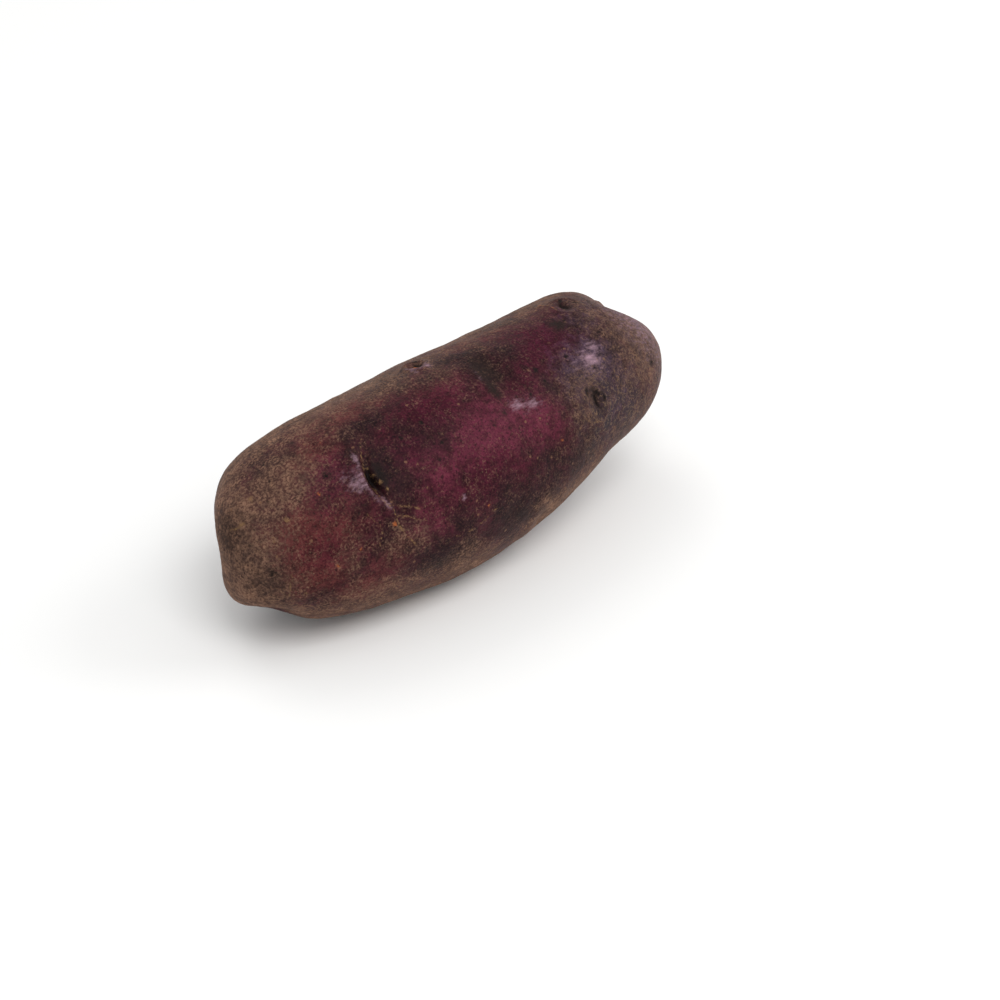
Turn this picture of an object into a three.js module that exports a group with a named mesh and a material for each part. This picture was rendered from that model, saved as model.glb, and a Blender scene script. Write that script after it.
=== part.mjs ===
// A purple potato: one oblong tuber lying on its belly. Millimetres, +Z up.
//
// The tuber's long axis runs along X, with the stem end at -X and the bud end at +X. The part's
// origin is the middle of its outline, seen from above, on the surface that it rests on.
//
// Two angles in degrees name every place on the skin:
//   polar: 0 at the tip of the stem end, 90 round the middle, 180 at the tip of the bud end
//   turn:  0 along the top, 90 down the front (-Y), 180 along the bottom, -90 up the back (+Y)

import * as THREE from "three";
import { mergeVertices } from "three/addons/utils/BufferGeometryUtils.js";

// The plain body, before the lumps and the eyes.
const LENGTH = 112.5;
// The radius along the length: its middle value, and how it changes from end to end as 1, 2 and 3
// half waves of a cosine.
const RADIUS = 21.2;
const RADIUS_WAVES = [0.9, -0.4, -0.2];
// How far the centre line bows towards BOW_DIRECTION, as the same half waves.
const BOW_WAVES = [-3.6, 1.8, -1.2];
const BOW_DIRECTION = new THREE.Vector3(0, 0.654, 0.757);
// The cross-section is a little wider than it is tall.
const WIDTH_SCALE = 1.03;
const HEIGHT_SCALE = 0.98;
// Below 1 these make an end blunter than an ellipsoid's.
const TIP_BLUNTNESS = 0.93;
const STEM_BLUNTNESS = 0.77;
const BUD_BLUNTNESS = 0.75;

// The belly: how far it sinks below the surface before it is pressed flat, and the rounding of
// the flat patch's edge.
const BELLY_SINK = 1.0;
const BELLY_ROUNDING = 0.7;

// Faces round the tuber and from tip to tip.
const FACES_ROUND = 64;
const FACES_ALONG = 56;

// Broad lumps (height above 0) and hollows (below 0) of the body, each fading over its reach.
const LUMPS = [
  { name: "hollow beside the bud tip", polar: 157, turn: -2, height: -2.7, reach: 5 },
  { name: "sloping bud shoulder", polar: 162, turn: 16, height: -2.1, reach: 8 },
  { name: "full bud cheek", polar: 161, turn: 90, height: 1.6, reach: 10 },
  { name: "low bud cheek", polar: 142, turn: 119, height: 2.4, reach: 9 },
  { name: "dip above the bud shoulder", polar: 142, turn: 8, height: -0.7, reach: 4 },
  { name: "stem lobe", polar: 17, turn: -168, height: 1.5, reach: 6 },
  { name: "stolon hollow", polar: 15, turn: -110, height: -3.3, reach: 5 },
  { name: "stem shoulder", polar: 35, turn: -61, height: 2.2, reach: 9 },
  { name: "dip over the stolon", polar: 26, turn: -64, height: -1.2, reach: 5 },
  { name: "crease under the stem lobe", polar: 30, turn: 158, height: -2.2, reach: 4 },
  { name: "stem side of the belly", polar: 49, turn: 152, height: 2.0, reach: 12 },
  { name: "middle of the belly", polar: 80, turn: 140, height: 1.2, reach: 13 },
  { name: "bud side of the belly", polar: 108, turn: 139, height: -0.5, reach: 13 },
  { name: "long hollow of the back", polar: 78, turn: -41, height: -1.7, reach: 11 },
  { name: "back near the stem end", polar: 64, turn: -40, height: -0.6, reach: 7 },
  { name: "swelling of the back", polar: 86, turn: -37, height: 0.4, reach: 6 },
];

// The eyes. Each is a dent with a raised brow, an arc that curls round the stem side of the dent.
// width is the brow's length across the tuber, and lean turns the eye on the skin, in degrees.
const EYES = [
  { name: "deep front eye", polar: 58.5, turn: 46, width: 11, dent: 1.5, brow: 1.1, lean: 12 },
  { name: "small top eye", polar: 86, turn: -12, width: 5, dent: 0.7, brow: 0.7, lean: 0 },
  { name: "shallow upper eye", polar: 94, turn: 20, width: 9, dent: 1.2, brow: 0.4, lean: 14 },
  { name: "bud cluster eye", polar: 115.5, turn: 68, width: 8, dent: 0.9, brow: 0.6, lean: -10 },
  { name: "bud crown eye", polar: 126, turn: -1, width: 8, dent: 0.8, brow: 0.7, lean: 0 },
  { name: "bud tip eye", polar: 160, turn: -30, width: 6, dent: 1.0, brow: 0.6, lean: 10 },
  { name: "bud tip lower eye", polar: 158, turn: 150, width: 6, dent: 0.9, brow: 0.6, lean: 0 },
  { name: "back bud eye", polar: 132, turn: -105, width: 9, dent: 1.2, brow: 0.8, lean: -8 },
  { name: "back middle eye", polar: 100, turn: -84, width: 10, dent: 1.3, brow: 0.8, lean: 10 },
  { name: "back low eye", polar: 76, turn: -128, width: 9, dent: 1.2, brow: 0.7, lean: -6 },
  { name: "back stem eye", polar: 48, turn: -88, width: 8, dent: 1.0, brow: 0.6, lean: 8 },
  { name: "front low eye", polar: 96, turn: 118, width: 8, dent: 0.9, brow: 0.5, lean: -8 },
];
// An eye's parts, as shares of its width.
const DENT_REACH_ALONG = 0.24;
const DENT_REACH_ACROSS = 0.34;
const DENT_OFFSET = 0.12;
const BROW_OFFSET = 0.22;
const BROW_THICKNESS = 0.16;
const BROW_REACH = 0.38;
const BROW_CURL = 0.5;

const SKIN_COLOUR = 0x5c3438;
const SKIN_ROUGHNESS = 0.62;

// The sum of 1, 2 and 3 half waves of a cosine, at a share of the way from stem tip to bud tip.
function halfWaves(waves, share) {
  return waves.reduce((sum, size, i) => sum + size * Math.cos((i + 1) * Math.PI * share), 0);
}

// The point of the plain body at a polar and a turn angle, in degrees.
function bodyPoint(polar, turn) {
  const p = THREE.MathUtils.degToRad(polar);
  const t = THREE.MathUtils.degToRad(turn);
  const towardsStem = Math.cos(p);
  const share = (1 - towardsStem) / 2;
  const bluntness = THREE.MathUtils.lerp(STEM_BLUNTNESS, BUD_BLUNTNESS, share);
  const radius = (RADIUS + halfWaves(RADIUS_WAVES, share)) * Math.abs(Math.sin(p)) ** bluntness;
  const x = -(LENGTH / 2) * Math.sign(towardsStem) * Math.abs(towardsStem) ** TIP_BLUNTNESS;
  return new THREE.Vector3(
    x,
    -radius * WIDTH_SCALE * Math.sin(t),
    radius * HEIGHT_SCALE * Math.cos(t),
  ).addScaledVector(BOW_DIRECTION, halfWaves(BOW_WAVES, share));
}

// The directions on the plain body's skin: towards the bud end, round the tuber, and outwards.
function bodyDirections(polar, turn) {
  const step = 0.05;
  const inside = THREE.MathUtils.clamp(polar, step * 2, 180 - step * 2);
  const along = bodyPoint(inside + step, turn).sub(bodyPoint(inside - step, turn)).normalize();
  const round = bodyPoint(inside, turn + step).sub(bodyPoint(inside, turn - step)).normalize();
  const outward = new THREE.Vector3().crossVectors(round, along).normalize();
  return { along, round, outward };
}

// 1 at a distance of 0, fading to nothing past about twice the reach.
function fade(distance, reach) {
  return Math.exp(-((distance / reach) ** 2) / 2);
}

// Each lump and eye gets its anchor on the plain body once.
const placedLumps = LUMPS.map((lump) => ({ ...lump, anchor: bodyPoint(lump.polar, lump.turn) }));
const placedEyes = EYES.map((eye) => {
  const { along, round, outward } = bodyDirections(eye.polar, eye.turn);
  const forward = along.applyAxisAngle(outward, THREE.MathUtils.degToRad(eye.lean));
  return { ...eye, forward, anchor: bodyPoint(eye.polar, eye.turn), round };
});

// How far one eye raises the skin at a point of the plain body.
function eyeRelief(eye, point) {
  const offset = point.clone().sub(eye.anchor);
  const along = offset.dot(eye.forward) / eye.width;
  const across = Math.sqrt(Math.max(offset.lengthSq() / eye.width ** 2 - along ** 2, 0));
  const dent = fade(along - DENT_OFFSET, DENT_REACH_ALONG) * fade(across, DENT_REACH_ACROSS);
  const browLine = BROW_CURL * across ** 2 - BROW_OFFSET;
  const brow = fade(along - browLine, BROW_THICKNESS) * fade(across, BROW_REACH);
  return eye.brow * brow - eye.dent * dent;
}

// The point of the skin at a polar and a turn angle, with the lumps and the eyes.
function skinPoint(polar, turn) {
  const point = bodyPoint(polar, turn);
  const { outward } = bodyDirections(polar, turn);
  let relief = 0;
  for (const lump of placedLumps) {
    relief += lump.height * fade(point.distanceTo(lump.anchor), lump.reach);
  }
  for (const eye of placedEyes) {
    relief += eyeRelief(eye, point);
  }
  return point.addScaledVector(outward, relief);
}

// A height above the surface, with everything below it pressed flat and the edge rounded off.
function pressedHeight(height) {
  if (height <= 0) return 0;
  if (height < 2 * BELLY_ROUNDING) return height ** 2 / (4 * BELLY_ROUNDING);
  return height - BELLY_ROUNDING;
}

// A unit sphere with its poles on X, reshaped point by point.
function tuberGeometry() {
  const ball = new THREE.SphereGeometry(1, FACES_ROUND, FACES_ALONG);
  ball.rotateZ(Math.PI / 2);
  ball.deleteAttribute("normal");
  ball.deleteAttribute("uv");
  const geometry = mergeVertices(ball, 1e-4);
  const places = geometry.getAttribute("position");
  const onBall = new THREE.Vector3();
  for (let i = 0; i < places.count; i++) {
    onBall.fromBufferAttribute(places, i);
    const polar = THREE.MathUtils.radToDeg(Math.acos(THREE.MathUtils.clamp(-onBall.x, -1, 1)));
    const turn = THREE.MathUtils.radToDeg(Math.atan2(-onBall.y, onBall.z));
    const point = skinPoint(polar, turn);
    places.setXYZ(i, point.x, point.y, point.z);
  }
  return geometry;
}

// Lays the tuber on its belly: the lowest part pressed flat at z = 0, the outline centred.
function layOnBelly(geometry) {
  geometry.computeBoundingBox();
  const lowest = geometry.boundingBox.min.z;
  const places = geometry.getAttribute("position");
  for (let i = 0; i < places.count; i++) {
    places.setZ(i, pressedHeight(places.getZ(i) - lowest - BELLY_SINK));
  }
  geometry.computeBoundingBox();
  const middle = geometry.boundingBox.getCenter(new THREE.Vector3());
  geometry.translate(-middle.x, -middle.y, 0);
  geometry.computeVertexNormals();
  return geometry;
}

const skin = new THREE.MeshStandardMaterial({
  name: "purple_skin",
  color: SKIN_COLOUR,
  roughness: SKIN_ROUGHNESS,
  metalness: 0,
});

const potato = new THREE.Mesh(layOnBelly(tuberGeometry()), skin);
potato.name = "potato";

const part = new THREE.Group();
part.name = "purple_potato";
part.add(potato);

export default part;
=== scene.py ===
"""One purple potato lying on its belly on a plain pale floor.

The skin is one closed surface over two angles, in degrees:
    polar: 0 at the tip of the stem end (-X), 90 round the middle, 180 at the tip of the bud end
    turn:  0 along the top, 90 down the front (-Y), 180 along the bottom, -90 up the back (+Y)
Sizes on the tuber are millimetres. They become metres where the mesh is made.
"""

import logging
import math
from dataclasses import dataclass
from enum import Enum

import bpy
import numpy as np
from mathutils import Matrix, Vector


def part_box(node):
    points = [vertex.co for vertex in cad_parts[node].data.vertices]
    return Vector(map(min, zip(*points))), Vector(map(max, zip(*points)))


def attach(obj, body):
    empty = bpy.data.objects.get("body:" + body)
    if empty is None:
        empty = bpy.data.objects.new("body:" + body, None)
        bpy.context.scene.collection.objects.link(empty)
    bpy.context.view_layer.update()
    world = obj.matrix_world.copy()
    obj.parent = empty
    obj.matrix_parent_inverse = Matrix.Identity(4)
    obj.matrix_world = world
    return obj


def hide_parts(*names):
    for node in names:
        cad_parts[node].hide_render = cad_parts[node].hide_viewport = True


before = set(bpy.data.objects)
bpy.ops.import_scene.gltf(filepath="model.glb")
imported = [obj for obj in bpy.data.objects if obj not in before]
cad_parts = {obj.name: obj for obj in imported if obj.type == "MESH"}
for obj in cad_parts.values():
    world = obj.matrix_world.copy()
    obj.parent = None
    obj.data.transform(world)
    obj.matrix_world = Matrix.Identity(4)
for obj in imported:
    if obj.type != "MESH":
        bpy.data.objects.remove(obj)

MM = 0.001
SEED = 41
FAR = 99.0  # a distance in millimetres at which a crease no longer shows
log = logging.getLogger("purple_potato")


# ---------------------------------------------------------------- numbers and fields

def fade(distance: np.ndarray, reach: float) -> np.ndarray:
    """A bell: 1 at a distance of 0, e to the minus half at one reach, nothing past about three."""
    return np.exp(-0.5 * (distance / reach) ** 2)


def smooth_step(value: np.ndarray, low: float, high: float) -> np.ndarray:
    """0 up to low, 1 from high, and the cubic 3t2 - 2t3 between them.

    Args:
        value: What to step.
        low: Where the rise starts.
        high: Where it ends.

    Returns:
        A share from 0 to 1.
    """
    t = np.clip((value - low) / (high - low), 0.0, 1.0)
    return t * t * (3.0 - 2.0 * t)


def half_waves(waves: tuple[float, ...], share: np.ndarray) -> np.ndarray:
    """The sum of 1, 2, 3, ... half waves of a cosine.

    Args:
        waves: The size of each half wave.
        share: How far along, from 0 at the stem tip to 1 at the bud tip.

    Returns:
        The summed value at each share.
    """
    return sum(size * np.cos((i + 1) * np.pi * share) for i, size in enumerate(waves))


def gap_between(points: np.ndarray, other: np.ndarray) -> np.ndarray:
    """The straight distance from each point to one other point."""
    return np.linalg.norm(points - other, axis=-1)


class LatticeNoise:
    """Smooth random relief: random heights on a cubic lattice, blended between its corners."""

    CELLS = 32

    def __init__(self, rng: np.random.Generator) -> None:
        """Draws the lattice's heights, from -1 to 1."""
        self.heights = rng.uniform(-1.0, 1.0, (self.CELLS, self.CELLS, self.CELLS))

    def at(self, points: np.ndarray, wavelength: float) -> np.ndarray:
        """The relief at each point.

        Each point falls in one lattice cell. Its place in the cell is eased by 3t2 - 2t3, and the
        eight corner heights are blended by it along X, then Y, then Z.

        Args:
            points: Points in millimetres, one a row.
            wavelength: The size of one lattice cell, in millimetres.

        Returns:
            A height from -1 to 1 for each point.
        """
        place = points / wavelength + 0.37
        cell = np.floor(place).astype(int)
        t = place - cell
        t = t * t * (3.0 - 2.0 * t)
        i, j, k = (cell[:, axis] % self.CELLS for axis in range(3))
        i1, j1, k1 = ((index + 1) % self.CELLS for index in (i, j, k))
        h = self.heights
        x, y, z = t[:, 0], t[:, 1], t[:, 2]
        near_low = h[i, j, k] * (1 - x) + h[i1, j, k] * x
        near_high = h[i, j1, k] * (1 - x) + h[i1, j1, k] * x
        far_low = h[i, j, k1] * (1 - x) + h[i1, j, k1] * x
        far_high = h[i, j1, k1] * (1 - x) + h[i1, j1, k1] * x
        low = near_low * (1 - y) + near_high * y
        high = far_low * (1 - y) + far_high * y
        return low * (1 - z) + high * z

    def layers(self, points: np.ndarray, wavelength: float, count: int) -> np.ndarray:
        """Layers of relief, each half as wide and half as high as the last.

        Args:
            points: Points in millimetres, one a row.
            wavelength: The size of the widest layer's cells, in millimetres.
            count: How many layers.

        Returns:
            A height from -1 to 1 for each point.
        """
        steps = [0.5 ** layer for layer in range(count)]
        return sum(step * self.at(points, wavelength * step) for step in steps) / sum(steps)


# ---------------------------------------------------------------- the tuber's shape

@dataclass(frozen=True)
class Lump:
    """A broad lump (height above 0) or hollow (below 0) of the body, fading over its reach."""

    name: str
    polar: float
    turn: float
    height: float
    reach: float


class EyeKind(Enum):
    """How an eye looks."""

    CRESCENT = "a pit under a sharp curved brow"
    RING = "a small round scar with a raised rim"
    SHALLOW = "a soft dent with a faint brow"
    CLUSTER = "a patch of small buds and cracks"


@dataclass(frozen=True)
class Eye:
    """One eye: its place, its width across the tuber, its depth, its brow and its lean."""

    name: str
    kind: EyeKind
    polar: float
    turn: float
    width: float
    dent: float
    brow: float
    lean: float


@dataclass(frozen=True)
class Crease:
    """A thin raised (height above 0) or sunken line on the skin through a few places."""

    name: str
    places: tuple[tuple[float, float], ...]
    height: float
    thickness: float


LUMPS = (
    Lump("hollow beside the bud tip", 157, -2, -2.7, 5),
    Lump("sloping bud shoulder", 162, 16, -2.1, 8),
    Lump("full bud cheek", 161, 90, 1.6, 10),
    Lump("low bud cheek", 142, 119, 2.4, 9),
    Lump("dip above the bud shoulder", 142, 8, -0.7, 4),
    Lump("stem lobe", 17, -168, 1.5, 6),
    Lump("stolon hollow", 15, -110, -3.3, 5),
    Lump("stem shoulder", 35, -61, 2.2, 9),
    Lump("dip over the stolon", 26, -64, -1.2, 5),
    Lump("crease under the stem lobe", 30, 158, -2.6, 3.4),
    Lump("stem side of the belly", 49, 152, 2.0, 12),
    Lump("middle of the belly", 80, 140, 1.2, 13),
    Lump("bud side of the belly", 108, 139, -0.5, 13),
    Lump("long hollow of the back", 78, -41, -1.7, 11),
    Lump("back near the stem end", 64, -40, -0.6, 7),
    Lump("swelling of the back", 86, -37, 0.4, 6),
    Lump("first bud scale", 59.2, 37, 0.6, 0.55),
    Lump("second bud scale", 59.5, 42.5, 0.9, 0.6),
    Lump("third bud scale", 60.1, 48, 0.9, 0.65),
    Lump("fourth bud scale", 60.8, 53.5, 0.55, 0.55),
    Lump("crack of the cluster", 116.6, 63.5, -0.25, 0.6),
    Lump("bump of the cluster", 117.6, 66.5, 0.4, 0.8),
)

EYES = (
    Eye("deep front eye", EyeKind.CRESCENT, 59.5, 44, 11, 1.7, 0.85, 4),
    Eye("small top eye", EyeKind.RING, 86.5, -15, 5.5, 0.9, 0.6, 0),
    Eye("shallow upper eye", EyeKind.SHALLOW, 94, 18, 10, 1.2, 0.25, 8),
    Eye("bud cluster eye", EyeKind.CLUSTER, 115.5, 65, 8, 0.55, 0.4, -10),
    Eye("bud crown eye", EyeKind.CLUSTER, 126, -2, 7, 0.7, 0.5, 0),
    Eye("bud tip eye", EyeKind.CRESCENT, 160, -30, 6, 0.9, 0.35, 10),
    Eye("bud tip lower eye", EyeKind.CRESCENT, 158, 150, 6, 0.8, 0.35, 0),
    Eye("back bud eye", EyeKind.CRESCENT, 132, -105, 9, 1.4, 0.7, -8),
    Eye("back middle eye", EyeKind.CRESCENT, 100, -84, 10, 1.6, 0.8, 10),
    Eye("back low eye", EyeKind.CRESCENT, 76, -128, 9, 1.4, 0.6, -6),
    Eye("back stem eye", EyeKind.CRESCENT, 48, -88, 8, 1.2, 0.6, 8),
    Eye("front low eye", EyeKind.SHALLOW, 96, 118, 8, 0.8, 0.3, -8),
)


@dataclass(frozen=True)
class TuberBody:
    """The plain body: a bowed, blunt-ended oblong. The sizes are those of the CAD tuber."""

    length: float = 112.5
    radius: float = 21.2
    radius_waves: tuple[float, ...] = (0.9, -0.4, -0.2)
    bow_waves: tuple[float, ...] = (-3.6, 1.8, -1.2)
    bow_direction: tuple[float, float, float] = (0.0, 0.654, 0.757)
    width_scale: float = 1.03
    height_scale: float = 0.98
    tip_bluntness: float = 0.93
    stem_bluntness: float = 0.77
    bud_bluntness: float = 0.75

    def point(self, polar: np.ndarray, turn: np.ndarray) -> np.ndarray:
        """The point of the plain body at a polar and a turn angle.

        Along X it follows the cosine of the polar angle, blunted by a power. Round X it is a circle
        whose radius is half waves along the length times the polar angle's sine to the bluntness.
        The whole is then bowed by half waves.

        Args:
            polar: Polar angles in degrees.
            turn: Turn angles in degrees, of the same shape.

        Returns:
            Points in millimetres, with X, Y and Z as the last axis.
        """
        p = np.radians(polar)
        t = np.radians(turn)
        to_stem = np.cos(p)
        share = (1 - to_stem) / 2
        bluntness = self.stem_bluntness * (1 - share) + self.bud_bluntness * share
        radius = (self.radius + half_waves(self.radius_waves, share)) * np.abs(np.sin(p)) ** bluntness
        x = -(self.length / 2) * np.sign(to_stem) * np.abs(to_stem) ** self.tip_bluntness
        bow = half_waves(self.bow_waves, share)
        y = bow * self.bow_direction[1] - radius * self.width_scale * np.sin(t)
        z = bow * self.bow_direction[2] + radius * self.height_scale * np.cos(t)
        return np.stack([x, y, z], axis=-1)

    def directions(self, polar: np.ndarray, turn: np.ndarray) -> tuple[np.ndarray, ...]:
        """Unit directions on the body: towards the bud end, round the tuber, and outwards.

        Args:
            polar: Polar angles in degrees.
            turn: Turn angles in degrees, of the same shape.

        Returns:
            The three directions, each with X, Y and Z as the last axis.
        """
        step = 0.05
        inside = np.clip(polar, 2 * step, 180 - 2 * step)
        along = self.point(inside + step, turn) - self.point(inside - step, turn)
        around = self.point(inside, turn + step) - self.point(inside, turn - step)
        along /= np.linalg.norm(along, axis=-1, keepdims=True)
        around /= np.linalg.norm(around, axis=-1, keepdims=True)
        outward = np.cross(around, along)
        outward /= np.linalg.norm(outward, axis=-1, keepdims=True)
        return along, around, outward


@dataclass(frozen=True)
class SkinPlace:
    """A place on the plain body with its own axes: forward to the bud end, aside, and outward."""

    anchor: np.ndarray
    forward: np.ndarray
    aside: np.ndarray

    @classmethod
    def on(cls, body: TuberBody, polar: float, turn: float, lean: float = 0.0) -> "SkinPlace":
        """The place at two angles, with forward turned on the skin by the lean in degrees.

        Args:
            body: The body that it lies on.
            polar: Its polar angle in degrees.
            turn: Its turn angle in degrees.
            lean: How far forward is turned, in degrees.

        Returns:
            The place.
        """
        at_polar = np.array(float(polar))
        at_turn = np.array(float(turn))
        along, around, _ = body.directions(at_polar, at_turn)
        swing = math.radians(lean)
        forward = along * math.cos(swing) + around * math.sin(swing)
        aside = around * math.cos(swing) - along * math.sin(swing)
        return cls(body.point(at_polar, at_turn), forward, aside)

    def offsets(self, points: np.ndarray) -> tuple[np.ndarray, np.ndarray]:
        """How far each point lies forward and aside, where aside takes in the depth as well.

        Args:
            points: Points in millimetres.

        Returns:
            The two distances, in millimetres.
        """
        offset = points - self.anchor
        forward = offset @ self.forward
        aside = offset @ self.aside
        whole = np.sqrt(np.maximum((offset ** 2).sum(-1) - forward ** 2, 0.0))
        return forward, np.where(aside < 0, -whole, whole)


@dataclass(frozen=True)
class EyeRelief:
    """How an eye raises the skin, with its parts as shares of the eye's width."""

    dent_forward: float = 0.24
    dent_aside: float = 0.34
    dent_offset: float = 0.12
    brow_offset: float = 0.20
    brow_curl: float = 0.42
    brow_aside: float = 0.46
    lip_gentle: float = 0.20
    lip_steep: float = 0.045
    slit_reach: float = 0.062
    fold_spacing: float = 0.13

    def brow_distance(self, forward: np.ndarray, aside: np.ndarray) -> np.ndarray:
        """How far past the brow line, a parabola that curls to the bud end, in eye widths."""
        return forward - (self.brow_curl * aside ** 2 - self.brow_offset)

    def crescent(self, eye: Eye, forward: np.ndarray, aside: np.ndarray) -> np.ndarray:
        """A lip that rises gently from the stem side and drops steeply into a slit and a dent.

        Args:
            eye: The eye.
            forward: Distance to the bud end, in eye widths.
            aside: Distance across, in eye widths.

        Returns:
            The height at each point, in millimetres.
        """
        past = self.brow_distance(forward, aside)
        reach = np.where(past < 0, self.lip_gentle, self.lip_steep)
        lip = np.exp(-0.5 * (past / reach) ** 2) * fade(aside, self.brow_aside)
        dent = fade(forward - self.dent_offset, self.dent_forward) * fade(aside, self.dent_aside)
        slit = fade(past - 2.0 * self.slit_reach, self.slit_reach) * fade(aside, 0.27)
        folds = np.cos(2 * np.pi * past / self.fold_spacing) * dent * smooth_step(past, 0.10, 0.25)
        depth = dent * smooth_step(past, -0.10, 0.14)
        return eye.brow * lip - eye.dent * (0.60 * depth + 1.05 * slit) + 0.06 * eye.dent * folds

    def ring(self, eye: Eye, forward: np.ndarray, aside: np.ndarray) -> np.ndarray:
        """A raised rim round a small dent with a bud in its middle.

        Args:
            eye: The eye.
            forward: Distance to the bud end, in eye widths.
            aside: Distance across, in eye widths.

        Returns:
            The height at each point, in millimetres.
        """
        out = np.hypot(forward, aside)
        rim = fade(out - 0.42, 0.11)
        dent = fade(out, 0.26)
        bud = fade(out, 0.10)
        return eye.brow * rim - eye.dent * dent + 0.6 * eye.dent * bud

    def shallow(self, eye: Eye, forward: np.ndarray, aside: np.ndarray) -> np.ndarray:
        """A wide soft dent under a low brow.

        Args:
            eye: The eye.
            forward: Distance to the bud end, in eye widths.
            aside: Distance across, in eye widths.

        Returns:
            The height at each point, in millimetres.
        """
        past = self.brow_distance(forward, aside)
        brow = fade(past, self.lip_gentle) * fade(aside, self.brow_aside)
        dent = fade(forward - self.dent_offset, self.dent_forward) * fade(aside, self.dent_aside)
        return eye.brow * brow - eye.dent * dent

    def cluster(self, eye: Eye, forward: np.ndarray, aside: np.ndarray) -> np.ndarray:
        """A low mound with a sunken middle and ripples round it, as at the crown of the buds.

        Args:
            eye: The eye.
            forward: Distance to the bud end, in eye widths.
            aside: Distance across, in eye widths.

        Returns:
            The height at each point, in millimetres.
        """
        out = np.hypot(forward, aside)
        ripples = np.cos(2 * np.pi * out / 0.24) * fade(out, 0.42)
        crack = fade(forward + 0.25 * aside, 0.05) * fade(aside, 0.22)
        return eye.brow * fade(out - 0.4, 0.22) - eye.dent * (0.3 * fade(out, 0.25) + crack) + 0.12 * ripples

    def height(self, eye: Eye, place: SkinPlace, points: np.ndarray) -> np.ndarray:
        """How far the eye raises the skin at each point of the plain body, in millimetres.

        Args:
            eye: The eye.
            place: Where it sits on the body.
            points: Points of the plain body, in millimetres.

        Returns:
            The height at each point, in millimetres.
        """
        forward, aside = place.offsets(points)
        shapes = {
            EyeKind.CRESCENT: self.crescent,
            EyeKind.RING: self.ring,
            EyeKind.SHALLOW: self.shallow,
            EyeKind.CLUSTER: self.cluster,
        }
        return shapes[eye.kind](eye, forward / eye.width, aside / eye.width)


# ---------------------------------------------------------------- the skin's marks

class Tone(Enum):
    """What colours a patch of the skin; some tones also hold painted light, said beside each tone. The value
    is the mesh attribute's name.
    """

    RED = "red_patch"
    MAGENTA = "magenta_patch"
    WINE = "wine_patch"
    # dark purple skin, and also painted shade in the eyes' hollows and a painted shadow of a neighbouring
    # potato on the lower front
    DEEP_TONE_AND_SHADE = "deep_patch_and_shade"
    VIOLET = "violet_patch"
    # soil film, and also a painted sheen along the top and belly edges
    FILM_AND_RIM_SHEEN = "soil_film_and_rim_sheen"
    NET = "russet_net"
    # dark smudges, and also painted shade in the deep eye's slit and the bud cluster's sunken middle
    SMUDGE_AND_EYE_SHADE = "dark_smudge_and_eye_shade"
    # pale scuffs, and also painted highlights on the deep eye's brow, the middle hump and the bud shoulder
    SCUFF_AND_HIGHLIGHT = "pale_scuff_and_highlight"
    ORANGE = "orange_fleck"
    LINE = "tan_line"
    # pores, and also painted shade, near black, in the eyes' slits, pits and cracks
    PORE_AND_SLIT_SHADE = "pore_and_slit_shade"


@dataclass(frozen=True)
class Patch:
    """A soft oval of one tone: its place, its reach forward and aside, its strength and lean.

    A strength below 0 wipes that share of the tone away.
    """

    tone: Tone
    polar: float
    turn: float
    forward: float
    aside: float
    strength: float = 1.0
    lean: float = 0.0


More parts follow.
